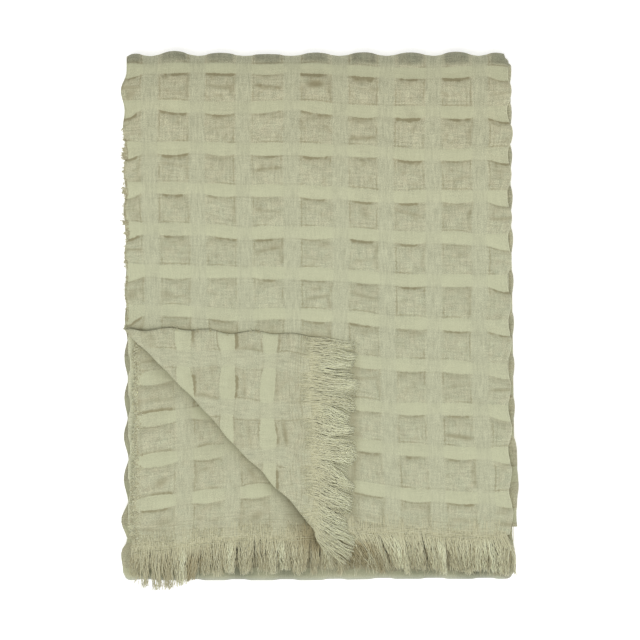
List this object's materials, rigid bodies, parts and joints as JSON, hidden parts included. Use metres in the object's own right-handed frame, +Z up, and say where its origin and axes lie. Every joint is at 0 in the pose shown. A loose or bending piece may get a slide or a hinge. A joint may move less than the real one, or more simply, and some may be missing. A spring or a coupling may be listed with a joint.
{
  "type": "folded waffle throw blanket",
  "caption": "Throw blanket of window-pane waffle cloth, folded in quarters both ways with fringed ends and one corner of the top layer turned back.",
  "frame": {"origin": "on the surface that the folded blanket lies on, under the middle of its outline", "axes": "+Z up from the surface, +Y along the folded length from the fringed ends to the thick fold, +X to the right of the turned-back corner"},
  "size_m": [0.3388, 0.459, 0.0324],
  "materials": {
    "waffle_cloth": "soft matt sage-green cotton gauze with dense satin-like bands",
    "fringe_yarn": "loose matt cotton yarn, sage green"
  },
  "bodies": {
    "root": {"cloth": "waffle_cloth", "fringe_top_end": "fringe_yarn", "fringe_under_end": "fringe_yarn"}
  },
  "joints": []
}
